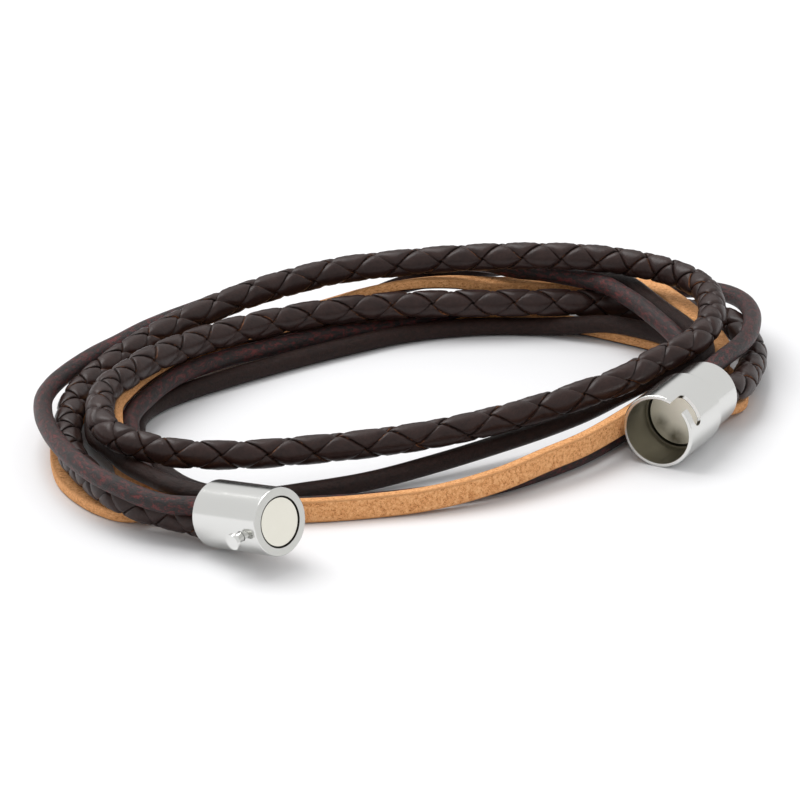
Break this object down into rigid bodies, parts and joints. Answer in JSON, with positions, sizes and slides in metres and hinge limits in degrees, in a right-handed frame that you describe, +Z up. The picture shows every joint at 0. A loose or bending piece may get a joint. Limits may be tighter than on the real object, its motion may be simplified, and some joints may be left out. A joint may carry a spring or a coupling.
{
  "type": "double-wrap leather bracelet with a bayonet clasp",
  "caption": "Leather bracelet that wraps the wrist twice, with braided, round and flat strands, and a magnetic bayonet clasp lying open.",
  "frame": {"origin": "centre of the bounding box's bottom face, on the surface that the bracelet lies on", "axes": "+X to the right as the bracelet lies with its clasp in front, -Y to the front, +Z up"},
  "size_m": [0.0791, 0.0777, 0.01],
  "materials": {
    "polished_steel": "polished stainless steel",
    "magnet_face": "satin plated",
    "pin_steel": "polished",
    "espresso_leather": "satin, with raw edges",
    "brown_leather": "slightly glossy",
    "antique_leather": "rubbed, soft sheen",
    "natural_leather": "raw, matte"
  },
  "bodies": {
    "root": {"plug": "polished_steel", "plug_magnet": "magnet_face", "lock_pin": "pin_steel", "socket": "polished_steel", "socket_magnet": "magnet_face", "braided_cord": "espresso_leather", "brown_cord": "brown_leather", "antique_cord": "antique_leather", "natural_lace": "natural_leather"}
  },
  "joints": []
}
